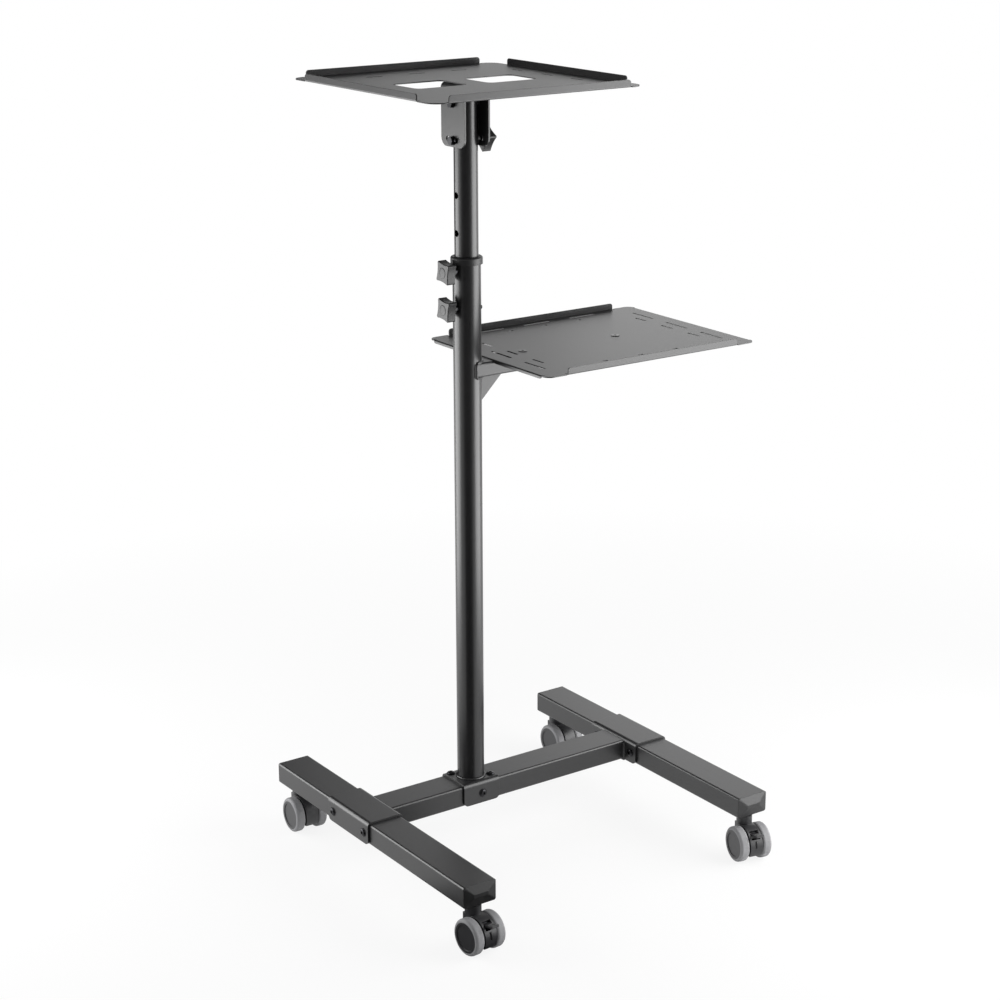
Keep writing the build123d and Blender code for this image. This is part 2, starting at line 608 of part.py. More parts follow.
# Casters: each trails towards -Y from its stem, swivelled a little from that as it stands, and the
# near pair carry brake pedals
barrel_top = caster_height - stem_flange_height - stem_gap
wheel_inner = hood_width / 2 + wheel_side_gap
wheel_outer = wheel_inner + wheel_width
pocket_width = hood_width - 2 * hood_wall
for end in stem_y:
    for side in leg_x:
        stem_x = leg_x[side]
        axle_y = stem_y[end] - caster_trail
        name = f"{end}_{side}"
        swivel = Axis((stem_x, stem_y[end], 0), (0, 0, 1))

        # Stem: a flanged pin screwed up into the leg
        with BuildPart() as stem:
            with BuildSketch(level(stem_x, stem_y[end], caster_height)):
                Circle(stem_diameter / 2)
            extrude(amount=stem_thread_length)
            with BuildSketch(level(stem_x, stem_y[end], caster_height)):
                Circle(stem_flange_diameter / 2)
            extrude(amount=-stem_flange_height)
            with BuildSketch(level(stem_x, stem_y[end], caster_height)):
                Circle(stem_diameter / 2)
            extrude(amount=wheel_radius + hood_radius - hood_wall - caster_height)
        save(stem, f"{name}_caster_stem")

        # Hood: a moulded fender between the wheels, open underneath, with a swivel barrel
        side_view = across_x(stem_x, stem_y[end], 0)
        axle = Vector(-caster_trail, wheel_radius)
        front = axle + Vector(hood_radius, 0).rotate(Axis.Z, hood_front_angle)
        rear = axle + Vector(hood_radius, 0).rotate(Axis.Z, hood_rear_angle)
        crown_angle = (hood_front_angle + hood_rear_angle) / 2
        crown = axle + Vector(hood_radius, 0).rotate(Axis.Z, crown_angle)
        pocket_radius = hood_radius - hood_wall
        pocket_front = axle + Vector(pocket_radius, 0).rotate(Axis.Z, hood_front_angle)
        pocket_rear = axle + Vector(pocket_radius, 0).rotate(Axis.Z, hood_rear_angle)
        pocket_crown = axle + Vector(pocket_radius, 0).rotate(Axis.Z, crown_angle)
        with BuildPart() as hood:
            with BuildSketch(side_view):
                with BuildLine():
                    ThreePointArc(rear, crown, front)
                    Polyline(
                        front, (hood_back, front.Y), (hood_back, hood_back_bottom),
                        (axle.X + hood_wall, hood_belly), rear)
                make_face()
            extrude(amount=hood_width / 2, both=True)
            with BuildSketch(level(stem_x, stem_y[end], front.Y - hood_wall)):
                Circle(barrel_diameter / 2)
                Rectangle(hood_width, barrel_diameter, mode=Mode.INTERSECT)
            extrude(amount=hood_wall)
            with BuildSketch(level(stem_x, stem_y[end], front.Y)):
                Circle(barrel_diameter / 2)
            extrude(amount=barrel_top - front.Y)
            with BuildSketch(side_view):
                with BuildLine():
                    ThreePointArc(pocket_rear, pocket_crown, pocket_front)
                    Polyline(
                        pocket_front, (hood_back - hood_wall, pocket_front.Y),
                        (hood_back - hood_wall, 0), (pocket_rear.X, 0), pocket_rear)
                make_face()
            extrude(amount=pocket_width / 2, both=True, mode=Mode.SUBTRACT)
            with BuildSketch(level(stem_x, stem_y[end], 0)):
                Circle(stem_diameter / 2 + axle_clearance)
            extrude(amount=caster_height, mode=Mode.SUBTRACT)
            with BuildSketch(side_view):
                with Locations(axle):
                    Circle(axle_diameter / 2 + axle_clearance)
            extrude(amount=hood_width, both=True, mode=Mode.SUBTRACT)
            if end == "near":
                pivot = axle + Vector(-pedal_pivot_back, pedal_pivot_up)
                with BuildSketch(side_view):
                    with BuildLine():
                        Polyline(
                            axle, axle + Vector(wheel_diameter, 0).rotate(Axis.Z, pedal_slot_high_angle),
                            axle + Vector(wheel_diameter, 0).rotate(Axis.Z, pedal_slot_low_angle), close=True)
                    make_face()
                extrude(amount=pocket_width / 2, both=True, mode=Mode.SUBTRACT)
                with BuildSketch(side_view):
                    with Locations(pivot):
                        Circle(pedal_pin_diameter / 2 + axle_clearance)
                extrude(amount=hood_width, both=True, mode=Mode.SUBTRACT)
        save(hood, f"{name}_caster_hood", swivel, caster_turn[name])

        # Wheel hubs: two dished discs pressed on one axle
        with BuildPart() as hubs:
            with BuildSketch(across_x(stem_x, axle_y, wheel_radius)):
                Circle(axle_diameter / 2)
            extrude(amount=wheel_inner, both=True)
            for facing in (-1, 1):
                with BuildSketch(across_x(stem_x + facing * wheel_inner, axle_y, wheel_radius)):
                    Circle(wheel_rim_diameter / 2 - axle_clearance)
                extrude(amount=facing * wheel_width)
                with BuildSketch(across_x(stem_x + facing * wheel_outer, axle_y, wheel_radius)):
                    Circle(hub_dish_diameter / 2)
                extrude(amount=-facing * hub_dish_depth, mode=Mode.SUBTRACT)
        save(hubs, f"{name}_caster_hubs", swivel, caster_turn[name])

        # Tyres: soft rings with rounded shoulders
        with BuildPart() as tyres:
            for facing in (-1, 1):
                with BuildSketch(across_x(stem_x + facing * wheel_inner, axle_y, wheel_radius)):
                    Circle(wheel_radius)
                    Circle(wheel_rim_diameter / 2, mode=Mode.SUBTRACT)
                extrude(amount=facing * wheel_width)
            tyre_edges = tyres.edges().filter_by(GeomType.CIRCLE)
            bore = wheel_rim_diameter / 2 + axle_clearance
            fillet(tyre_edges.filter_by(lambda edge: edge.radius > bore), tyre_edge)
        save(tyres, f"{name}_caster_tyres", swivel, caster_turn[name])

        # Brake pedal: a blade on a cross pin, coming out through the back of the hood
        if end == "near":
            with BuildPart() as pedal:
                pedal_plane = side_view * Location((pivot.X, pivot.Y), 180 - pedal_rise_angle)
                with BuildSketch(pedal_plane):
                    Circle(pedal_hub_diameter / 2)
                    Rectangle(pedal_reach, pedal_thickness, align=(Align.MIN, Align.CENTER))
                extrude(amount=pedal_width / 2, both=True)
                with BuildSketch(pedal_plane):
                    Circle(pedal_pin_diameter / 2)
                extrude(amount=hood_width / 2, both=True)
            save(pedal, f"{name}_brake_pedal", swivel, caster_turn[name])
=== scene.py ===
import json
import math

import bpy
from mathutils import Matrix, Vector


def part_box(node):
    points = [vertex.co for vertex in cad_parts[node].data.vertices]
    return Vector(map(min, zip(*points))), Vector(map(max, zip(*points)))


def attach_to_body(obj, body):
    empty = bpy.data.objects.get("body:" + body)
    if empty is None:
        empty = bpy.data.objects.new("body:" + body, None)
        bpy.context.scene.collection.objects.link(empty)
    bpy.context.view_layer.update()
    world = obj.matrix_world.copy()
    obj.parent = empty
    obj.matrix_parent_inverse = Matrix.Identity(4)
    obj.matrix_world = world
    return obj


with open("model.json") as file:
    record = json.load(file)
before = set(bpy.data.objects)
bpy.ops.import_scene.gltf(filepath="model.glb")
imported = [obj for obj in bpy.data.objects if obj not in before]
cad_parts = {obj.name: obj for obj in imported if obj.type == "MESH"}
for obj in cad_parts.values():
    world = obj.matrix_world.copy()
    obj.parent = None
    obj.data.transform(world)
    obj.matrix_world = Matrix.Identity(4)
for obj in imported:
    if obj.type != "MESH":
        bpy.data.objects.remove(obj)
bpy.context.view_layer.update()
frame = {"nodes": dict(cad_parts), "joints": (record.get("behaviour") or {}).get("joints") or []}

# Legs: two lengths of 50 x 30 mm steel tube with rolled corners, sprayed with black polyester powder
# that is baked on. They lie front to back and carry a caster under each end.
nodes = frame["nodes"]
mm = 0.001


def linear(hex_colour):
    """An sRGB hex value as a linear colour with full alpha."""
    parts = [int(hex_colour[i:i + 2], 16) / 255 for i in (1, 3, 5)]
    return [c / 12.92 if c <= 0.04045 else ((c + 0.055) / 1.055) ** 2.4 for c in parts] + [1.0]


def wire(tree, kind, settings, links):
    """Add one node: settings go to its sockets or its own values, links come from other sockets."""
    node = tree.nodes.new(kind)
    for name, value in settings.items():
        if name in node.inputs:
            node.inputs[name].default_value = value
        else:
            setattr(node, name, value)
    for name, source in links.items():
        tree.links.new(source, node.inputs[name])
    return node


def new_material(name):
    """A new material and its empty node tree."""
    material = bpy.data.materials.new(name)
    material.use_nodes = True
    material.node_tree.nodes.clear()
    return material, material.node_tree


def per_metre(millimetres):
    """Texture scale at which one grain is that many millimetres across."""
    return 1 / (millimetres * mm)


def dress(material, *names):
    """Give the named solids this material."""
    for name in names:
        nodes[name].data.materials.clear()
        nodes[name].data.materials.append(material)


# Fine-texture polyester powder coat: near black face on, and grey at a low angle, where its grain
# scatters the white room. The grain is about 0.4 mm, too fine to show, so it is drawn at 1.6 mm.
powder_coat, tree = new_material("textured_black_powder_coat")
place = wire(tree, "ShaderNodeTexCoord", {}, {})
grain = wire(tree, "ShaderNodeTexNoise", {"Scale": per_metre(1.6), "Detail": 3.0, "Roughness": 0.6},
             {"Vector": place.outputs["Object"]})
cloud = wire(tree, "ShaderNodeTexNoise", {"Scale": per_metre(60), "Detail": 2.0},
             {"Vector": place.outputs["Object"]})
shade = wire(tree, "ShaderNodeMixRGB", {"Color1": linear("#1c1c1d"), "Color2": linear("#232324")},
             {"Fac": cloud.outputs["Fac"]})
gloss = wire(tree, "ShaderNodeMapRange", {"To Min": 0.32, "To Max": 0.42}, {"Value": grain.outputs["Fac"]})
edge = wire(tree, "ShaderNodeBevel", {"samples": 4, "Radius": 0.6 * mm}, {})
relief = wire(tree, "ShaderNodeBump", {"Strength": 0.2, "Distance": 0.2 * mm},
              {"Height": grain.outputs["Fac"], "Normal": edge.outputs["Normal"]})
skin = wire(tree, "ShaderNodeBsdfPrincipled", {"IOR": 1.6},
            {"Base Color": shade.outputs["Color"], "Roughness": gloss.outputs["Result"],
             "Normal": relief.outputs["Normal"]})
wire(tree, "ShaderNodeOutputMaterial", {}, {"Surface": skin.outputs["BSDF"]})
dress(powder_coat, "left_leg", "right_leg")

# End caps: moulded plugs with a low pyramid on the outside, tapped into the open ends of the legs.
# They are black nylon, as are the column's bush, its knobs and the washers under the tray.

# Moulded nylon: satin black with the fine etched skin of the mould, which softens every highlight.
# The etching is about 0.3 mm, too fine to show, so it is drawn at 1.2 mm.
black_nylon, tree = new_material("moulded_black_nylon")
place = wire(tree, "ShaderNodeTexCoord", {}, {})
etching = wire(tree, "ShaderNodeTexNoise", {"Scale": per_metre(1.2), "Detail": 2.0},
               {"Vector": place.outputs["Object"]})
flow = wire(tree, "ShaderNodeTexNoise", {"Scale": per_metre(18), "Detail": 2.0, "Distortion": 1.5},
            {"Vector": place.outputs["Object"]})
shade = wire(tree, "ShaderNodeMixRGB", {"Color1": linear("#171718"), "Color2": linear("#1f1f20")},
             {"Fac": flow.outputs["Fac"]})
gloss = wire(tree, "ShaderNodeMapRange", {"To Min": 0.36, "To Max": 0.5}, {"Value": etching.outputs["Fac"]})
edge = wire(tree, "ShaderNodeBevel", {"samples": 4, "Radius": 0.8 * mm}, {})
relief = wire(tree, "ShaderNodeBump", {"Strength": 0.12, "Distance": 0.1 * mm},
              {"Height": etching.outputs["Fac"], "Normal": edge.outputs["Normal"]})
skin = wire(tree, "ShaderNodeBsdfPrincipled", {"IOR": 1.53},
            {"Base Color": shade.outputs["Color"], "Roughness": gloss.outputs["Result"],
             "Normal": relief.outputs["Normal"]})
wire(tree, "ShaderNodeOutputMaterial", {}, {"Surface": skin.outputs["BSDF"]})
dress(black_nylon, "left_leg_near_cap", "left_leg_far_cap", "right_leg_near_cap", "right_leg_far_cap")

# Cross beam and saddles: the beam is the same tube as the legs, welded at both ends to a strip of
# 3 mm steel that is folded over the leg. Two button-head bolts go through each cheek of the strip.
dress(powder_coat, "cross_beam", "left_saddle", "right_saddle")


def extent(name):
    """The low and high corners of a solid's box in millimetres."""
    return [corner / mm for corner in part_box(name)]


def attach(name, shape, place, material, body):
    """Make a piece from corners and faces in millimetres, put it in place and fix it to a body."""
    corners, faces = shape
    crease = math.radians(38)
    mesh = bpy.data.meshes.new(name)
    mesh.from_pydata([Vector(corner) * mm for corner in corners], [], faces)
    mesh.transform(place)
    mesh.polygons.foreach_set("use_smooth", [True] * len(mesh.polygons))
    mesh.set_sharp_from_angle(angle=crease)
    mesh.materials.append(material)
    piece = bpy.data.objects.new(name, mesh)
    bpy.context.scene.collection.objects.link(piece)
    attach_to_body(piece, body)


def evenly(first, last, step):
    """Points from the first up to the last, about one step apart, without the last."""
    first, last = Vector(first), Vector(last)
    count = max(2, round((last - first).length / step))
    return [first.lerp(last, i / count) for i in range(count)]


def rod(path, radius, flat, closed=False, ripple=1.22):
    """A round rod along a path in one plane, rippled as weld metal is where each pool froze."""
    sides = 8
    corners, faces = [], []
    for i, point in enumerate(path):
        before = path[i - 1] if closed or i else point
        after = path[(i + 1) % len(path)] if closed or i + 1 < len(path) else point
        out = (after - before).cross(flat).normalized()
        reach = radius * (ripple if i % 2 else 1)
        for k in range(sides):
            angle = 2 * math.pi * k / sides
            corners.append(point + reach * (math.cos(angle) * out + math.sin(angle) * flat))
    for i in range(len(path) if closed else len(path) - 1):
        here, there = i * sides, (i + 1) % len(path) * sides
        for k in range(sides):
            n = (k + 1) % sides
            faces.append((here + k, here + n, there + n, there + k))
    if not closed:
        faces.append(tuple(reversed(range(sides))))
        faces.append(tuple(range(len(corners) - sides, len(corners))))
    return corners, faces


def weld(name, path, radius, flat, closed=False):
    """Lay a bead of weld metal on the base, under the same powder as the tubes it joins."""
    attach(name, rod(path, radius, flat, closed), Matrix(), powder_coat, "base")


bead_radius = 1.9
bead_step = 1.4
bead_stop = 3
beam_low, beam_high = extent("cross_beam")
bead_top = beam_high.z - bead_stop
for side, x in (("left", beam_low.x), ("right", beam_high.x)):
    rim = [(x, beam_low.y, bead_top), (x, beam_low.y, beam_low.z), (x, beam_high.y, beam_low.z),
           (x, beam_high.y, bead_top)]
    path = [point for a, b in zip(rim, rim[1:]) for point in evenly(a, b, bead_step)]
    weld(f"{side}_beam_weld", path, bead_radius, Vector((1, 0, 0)))


def turned(rings, steps=24):
    """A form turned about Z from rings of radius and height, and for a socket its number of sides."""
    corners, faces = [], []
    for radius, height, *sides in rings:
        for i in range(steps):
            angle = 2 * math.pi * i / steps
            reach = radius
            if sides:
                half = math.pi / sides[0]
                reach *= math.cos(half) / math.cos(angle % (2 * half) - half)
            corners.append((reach * math.cos(angle), reach * math.sin(angle), height))
    for ring in range(0, len(corners) - steps, steps):
        for i in range(steps):
            n = (i + 1) % steps
            faces.append((ring + i, ring + n, ring + steps + n, ring + steps + i))
    faces.append(tuple(reversed(range(steps))))
    faces.append(tuple(range(len(corners) - steps, len(corners))))
    return corners, faces


def facing(point, direction):
    """Placement with its foot at a point in millimetres and its axis along the direction."""
    turn = Vector(direction).to_track_quat("Z", "Y").to_matrix().to_4x4()
    return Matrix.Translation(Vector(point) * mm) @ turn


# Black zinc plate on steel: a dark mirror, dulled by passivation, that shows a bright spot where a
# soft box falls on it. The cloudy patches of the bath are about 3 mm across.
black_zinc, tree = new_material("black_zinc_plated_steel")
place = wire(tree, "ShaderNodeTexCoord", {}, {})
bath = wire(tree, "ShaderNodeTexNoise", {"Scale": per_metre(3), "Detail": 3.0},
            {"Vector": place.outputs["Object"]})
shade = wire(tree, "ShaderNodeMixRGB", {"Color1": linear("#2a2a2c"), "Color2": linear("#3c3c3e")},
             {"Fac": bath.outputs["Fac"]})
gloss = wire(tree, "ShaderNodeMapRange", {"To Min": 0.22, "To Max": 0.38}, {"Value": bath.outputs["Fac"]})
skin = wire(tree, "ShaderNodeBsdfPrincipled", {"Metallic": 1.0},
            {"Base Color": shade.outputs["Color"], "Roughness": gloss.outputs["Result"]})
wire(tree, "ShaderNodeOutputMaterial", {}, {"Surface": skin.outputs["BSDF"]})

# Washer, button head and hexagon socket, from the foot of the washer to the floor of the socket
bolt_profile = [(6.3, -0.3), (6.3, 0.7), (5.6, 0.8), (5.5, 1.2), (4.9, 2.0), (3.9, 2.5), (2.7, 2.7),
                (2.2, 2.7, 6), (2.1, 1.2, 6)]


def bolt(name, spot, outward):
    """Fit a bolt to the base at a spot in millimetres, with its head looking outward."""
    attach(name, turned(bolt_profile), facing(spot, outward), black_zinc, "base")


bolt_pitch = 80
bolt_drop = 14.8
column_low, column_high = extent("lower_tube")
column = (column_low + column_high) / 2
leg_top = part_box("left_leg")[1].z / mm
saddle_faces = {
    "left_outer": (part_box("left_saddle")[0].x / mm, -1),
    "left_inner": (beam_low.x, 1),
    "right_inner": (beam_high.x, -1),
    "right_outer": (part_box("right_saddle")[1].x / mm, 1),
}
for cheek, (x, outward) in saddle_faces.items():
    for end, sign in (("near", -1), ("far", 1)):
        spot = (x, column.y + sign * bolt_pitch / 2, leg_top - bolt_drop)
        bolt(f"{cheek}_{end}_bolt", spot, (outward, 0, 0))

# Column foot and lower tube: a strip folded over the beam and bolted to it, with a 38 mm round tube
# welded upright on top. The tube is coated with the same powder, but smooth, and a blind rivet on its
# right, level with the lower clamp screw, keeps the guide bush inside from turning.
dress(powder_coat, "column_foot")

# Smooth polyester powder coat: glossier than the textured one, with a faint orange peel of about
# 3 mm, so the tube carries long soft streaks of light down both sides.
smooth_coat, tree = new_material("smooth_black_powder_coat")
place = wire(tree, "ShaderNodeTexCoord", {}, {})
peel = wire(tree, "ShaderNodeTexNoise", {"Scale": per_metre(3), "Detail": 1.0},
            {"Vector": place.outputs["Object"]})
shade = wire(tree, "ShaderNodeMixRGB", {"Color1": linear("#181819"), "Color2": linear("#1d1d1e")},
             {"Fac": peel.outputs["Fac"]})
gloss = wire(tree, "ShaderNodeMapRange", {"To Min": 0.28, "To Max": 0.34}, {"Value": peel.outputs["Fac"]})
relief = wire(tree, "ShaderNodeBump", {"Strength": 0.05, "Distance": 0.1 * mm},
              {"Height": peel.outputs["Fac"]})
skin = wire(tree, "ShaderNodeBsdfPrincipled", {"IOR": 1.6},
            {"Base Color": shade.outputs["Color"], "Roughness": gloss.outputs["Result"],
             "Normal": relief.outputs["Normal"]})
wire(tree, "ShaderNodeOutputMaterial", {}, {"Surface": skin.outputs["BSDF"]})
dress(smooth_coat, "lower_tube")


def around(angle):
    """Level direction at an angle from X."""
    return Vector((math.cos(angle), math.sin(angle), 0))


foot_bead_radius = 1.4
foot_bead_throat = 0.6
tube_radius = (column_high.x - column_low.x) / 2
foot_low, foot_high = extent("column_foot")
ring_points = 2 * round(math.pi * tube_radius / bead_step)
ring_middle = Vector((column.x, column.y, foot_high.z + foot_bead_throat))
ring_radius = tube_radius + foot_bead_throat
path = [ring_middle + around(2 * math.pi * i / ring_points) * ring_radius for i in range(ring_points)]
weld("foot_weld", path, foot_bead_radius, Vector((0, 0, 1)), closed=True)

foot_bolts = {"left": (-21, 19), "right": (24, -14)}
for side, (along, across) in foot_bolts.items():
    bolt(f"foot_{side}_bolt", (column.x + along, column.y + across, foot_high.z), (0, 0, 1))
foot_bolt_shift = 1.4
foot_bolt_drop = 15.5
for end, y, outward in (("near", foot_low.y, -1), ("far", foot_high.y, 1)):
    bolt(f"foot_{end}_bolt", (column.x + foot_bolt_shift, y, leg_top - foot_bolt_drop), (0, outward, 0))

rivet_profile = [(2.6, -0.8), (2.6, 0.3), (2.2, 0.9), (1.4, 1.3), (0.8, 1.4), (0.7, 1.0)]
rivet_way = around(math.radians(-34))
rivet_height = sum(corner.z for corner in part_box("lower_clamp_knob")) / 2 / mm
spot = Vector((column.x, column.y, rivet_height)) + rivet_way * tube_radius
attach("bush_rivet", turned(rivet_profile), facing(spot, rivet_way), smooth_coat,
       "base")

# Shelf arm, gusset and shelf: a flat tube and a triangular plate welded to the column, with a pressed
# steel shelf held down on the arm by two flat screws. All of it is powder coated.
dress(powder_coat, "shelf_arm", "shelf_gusset", "side_shelf")
arm_low, arm_high = extent("shelf_arm")
cope = math.radians(84)
cope_throat = 0.5
cope_steps = 2 * round(cope * tube_radius / bead_step)
for rim_name, z in (("top", arm_high.z), ("bottom", arm_low.z)):
    middle = Vector((column.x, column.y, z))
    angles = [cope * (2 * i / cope_steps - 1) for i in range(cope_steps + 1)]
    path = [middle + around(angle) * (tube_radius + cope_throat) for angle in angles]
    weld(f"arm_{rim_name}_weld", path, bead_radius, Vector((0, 0, 1)))
cope_end_shift = 1
cope_end = column.x + cope_end_shift
for side, y in (("near", arm_low.y), ("far", arm_high.y)):
    path = evenly((cope_end, y, arm_low.z), (cope_end, y, arm_high.z), bead_step)
    weld(f"arm_{side}_weld", path, bead_radius, Vector((0, 1, 0)))

gusset_bead_radius = 1.3
gusset_bead_stop = 2
gusset_low, gusset_high = extent("shelf_gusset")
tube_face = column.x + tube_radius
for side, y in (("near", gusset_low.y), ("far", gusset_high.y)):
    corner = (tube_face, y, gusset_high.z)
    path = evenly((tube_face, y, gusset_low.z + gusset_bead_stop), corner, bead_step)
    path += evenly(corner, (gusset_high.x - gusset_bead_stop, y, gusset_high.z), bead_step)
    weld(f"gusset_{side}_weld", path, gusset_bead_radius, Vector((0, 1, 0)))

shelf_sheet = 1.5
lip_height = 10
shelf_face = extent("side_shelf")[1].z - lip_height + shelf_sheet
screw_profile = [(6.2, -0.3), (6.2, 0.5), (5.9, 0.8), (3.0, 0.9), (2.1, 0.9, 6), (2.0, 0.2, 6)]
shelf_screws = {"shelf_inner_screw": 91, "shelf_outer_screw": 250}
for name, along in shelf_screws.items():
    place = facing((column.x + along, column.y, shelf_face), (0, 0, 1))
    attach(name, turned(screw_profile), place, smooth_coat, "base")

# Guide bush and upper tube: a nylon sleeve pressed in the lower tube's end, and a 32 mm tube that
# slides in it. The sliding tube has a row of index holes for the clamp screws.
dress(black_nylon, "guide_bush")
dress(smooth_coat, "upper_tube")

# Clamp screws: two nylon knobs moulded over steel screws, which run in nuts welded to the lower tube.
# A small snap-in cap closes the middle of each knob.
dress(black_nylon, "upper_clamp_knob", "lower_clamp_knob")
dress(black_zinc, "clamp_nuts")
cap_profile = [(7.2, -0.4), (7.2, 0.1), (6.8, 0.35), (6.0, 0.45), (3.2, 0.7), (1.2, 0.75)]


def cap_knob(knob, outward):
    """Snap a cap in the outer face of a knob, which looks along X or against it."""
    low, high = extent(knob)
    spot = (high.x if outward > 0 else low.x, column.y, (low.z + high.z) / 2)
    place = facing(spot, (outward, 0, 0))
    attach(f"{knob}_cap", turned(cap_profile), place, black_nylon, knob)


cap_knob("upper_clamp_knob", -1)
cap_knob("lower_clamp_knob", -1)

# Tilt head: a folded steel bracket on two bolts through the upper tube, with nylon washers between.
# The lower bolt runs in the bracket's arc slots and a knob on its right end clamps the tilt.
dress(powder_coat, "tilt_bracket")
dress(black_nylon, "tilt_spacers", "tilt_knob")
dress(black_zinc, "pivot_bolt", "tilt_bolt")
cap_knob("tilt_knob", 1)

# Top tray: a pressed steel sheet with folded lips, slots and two windows, spot welded to the bracket
# and powder coated.
dress(powder_coat, "top_tray")

# Casters: twin wheels on one axle under a moulded hood, swivelling on a steel stem. The wheels are
# dark grey nylon with a soft grey tyre moulded round each.

# Moulded caster nylon: dark grey with a little more shine than the black nylon, from a polished mould.
# The flow of the melt leaves faint cloudy marks about 9 mm across.
caster_nylon, tree = new_material("moulded_dark_grey_nylon")
place = wire(tree, "ShaderNodeTexCoord", {}, {})
flow = wire(tree, "ShaderNodeTexNoise", {"Scale": per_metre(9), "Detail": 2.0, "Distortion": 1.2},
            {"Vector": place.outputs["Object"]})
shade = wire(tree, "ShaderNodeMixRGB", {"Color1": linear("#242426"), "Color2": linear("#2c2c2e")},
             {"Fac": flow.outputs["Fac"]})
gloss = wire(tree, "ShaderNodeMapRange", {"To Min": 0.34, "To Max": 0.46}, {"Value": flow.outputs["Fac"]})
edge = wire(tree, "ShaderNodeBevel", {"samples": 4, "Radius": 0.5 * mm}, {})
skin = wire(tree, "ShaderNodeBsdfPrincipled", {"IOR": 1.53},
            {"Base Color": shade.outputs["Color"], "Roughness": gloss.outputs["Result"],
             "Normal": edge.outputs["Normal"]})
wire(tree, "ShaderNodeOutputMaterial", {}, {"Surface": skin.outputs["BSDF"]})

# Thermoplastic rubber: matt mid grey, drawn a little darker on the side walls, whose faces look along
# the axle, than on the tread, with dust in a grain of about 0.5 mm, which is drawn at 1.4 mm to show.
tyre_rubber, tree = new_material("grey_thermoplastic_rubber")
place = wire(tree, "ShaderNodeTexCoord", {}, {})
dust = wire(tree, "ShaderNodeTexNoise", {"Scale": per_metre(1.4), "Detail": 3.0},
            {"Vector": place.outputs["Object"]})
normal = wire(tree, "ShaderNodeSeparateXYZ", {}, {"Vector": place.outputs["Normal"]})
sideways = wire(tree, "ShaderNodeMath", {"operation": "ABSOLUTE"}, {0: normal.outputs["X"]})
# Faces that look along the axle take a darker grey than the tread.
side_wall = wire(tree, "ShaderNodeMapRange", {"From Min": 0.35, "From Max": 0.8},
                 {"Value": sideways.outputs["Value"]})
tread_grey = wire(tree, "ShaderNodeMixRGB", {"Color1": linear("#909092"), "Color2": linear("#7c7c7e")},
            {"Fac": dust.outputs["Fac"]})
shade = wire(tree, "ShaderNodeMixRGB", {"Color2": linear("#7a7a7c")},
             {"Fac": side_wall.outputs["Result"], "Color1": tread_grey.outputs["Color"]})
relief = wire(tree, "ShaderNodeBump", {"Strength": 0.2, "Distance": 0.1 * mm},
              {"Height": dust.outputs["Fac"]})
skin = wire(tree, "ShaderNodeBsdfPrincipled", {"IOR": 1.5, "Roughness": 0.62},
            {"Base Color": shade.outputs["Color"], "Normal": relief.outputs["Normal"]})
wire(tree, "ShaderNodeOutputMaterial", {}, {"Surface": skin.outputs["BSDF"]})

# Bright zinc plate on the turned stems: a clear grey mirror that flashes where a soft box falls on it,
# with the cloudy patches of the bath about 3 mm across.
bright_zinc, tree = new_material("bright_zinc_plated_steel")
place = wire(tree, "ShaderNodeTexCoord", {}, {})
bath = wire(tree, "ShaderNodeTexNoise", {"Scale": per_metre(3), "Detail": 3.0},
            {"Vector": place.outputs["Object"]})
shade = wire(tree, "ShaderNodeMixRGB", {"Color1": linear("#8c8c8f"), "Color2": linear("#a2a2a5")},
             {"Fac": bath.outputs["Fac"]})
gloss = wire(tree, "ShaderNodeMapRange", {"To Min": 0.18, "To Max": 0.3}, {"Value": bath.outputs["Fac"]})
skin = wire(tree, "ShaderNodeBsdfPrincipled", {"Metallic": 1.0},
            {"Base Color": shade.outputs["Color"], "Roughness": gloss.outputs["Result"]})
wire(tree, "ShaderNodeOutputMaterial", {}, {"Surface": skin.outputs["BSDF"]})

for caster in ("near_left", "near_right", "far_left", "far_right"):
    dress(bright_zinc, f"{caster}_caster_stem")
    dress(caster_nylon, f"{caster}_caster_hood", f"{caster}_caster_hubs")
    dress(tyre_rubber, f"{caster}_caster_tyres")
